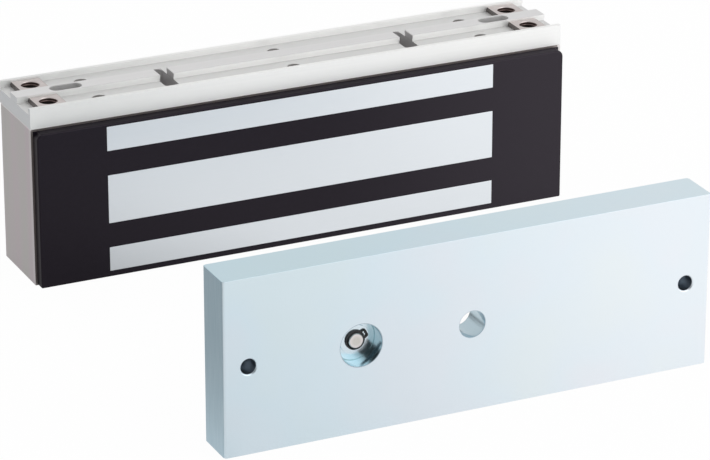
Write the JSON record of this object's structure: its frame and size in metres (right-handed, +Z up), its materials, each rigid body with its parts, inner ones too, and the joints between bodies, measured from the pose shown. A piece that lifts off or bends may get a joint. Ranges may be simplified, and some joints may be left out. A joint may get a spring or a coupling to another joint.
{
  "type": "electromagnetic lock",
  "caption": "Electromagnetic door lock: a potted magnet in a folded housing under a slotted mounting profile, and the steel armature plate that the door carries.",
  "frame": {"origin": "on the floor, in the middle of the box round the magnet and its plate", "axes": "+X along the magnet, +Y from the plate to the magnet's back, +Z up to the mounting profile"},
  "size_m": [0.26, 0.2376, 0.083],
  "materials": {
    "stainless": "brushed stainless sheet",
    "lamination": "ground silicon steel",
    "rivet_steel": "plain steel",
    "former_plastic": "moulded nylon",
    "winding": "enamelled copper wire",
    "lead_sleeve": "sleeved lead",
    "board": "glass fibre board",
    "suppressor": "dipped lacquer",
    "bush_rubber": "moulded rubber",
    "potting_resin": "satin black resin",
    "profile_aluminium": "satin anodised",
    "nut_steel": "stainless",
    "zinc_plated": "blue-white zinc plating",
    "pin_steel": "turned steel",
    "spring_steel": "spring wire",
    "ring_black": "black phosphated spring steel"
  },
  "bodies": {
    "lock": {"housing": "stainless", "core_stack": "lamination", "core_rivets": "rivet_steel", "coil_former": "former_plastic", "coil": "winding", "coil_leads": "lead_sleeve", "circuit_board": "board", "surge_suppressor": "suppressor", "cable_bush": "bush_rubber", "potting": "potting_resin", "mounting_profile": "profile_aluminium", "slot_nuts": "nut_steel", "profile_rivets": "rivet_steel", "armature_plate": "zinc_plated", "push_off_spring": "spring_steel", "pin_washer": "zinc_plated"},
    "pin": {"push_off_pin": "pin_steel", "retaining_ring": "ring_black"}
  },
  "joints": [
    {"name": "pin_press", "type": "slide", "parent": "lock", "child": "pin", "axis": [0, -1, 0], "range_m": [0, 0.0018], "stiffness_N_per_m": 2000, "springref_m": -0.003, "deforming": ["push_off_spring"]}
  ]
}
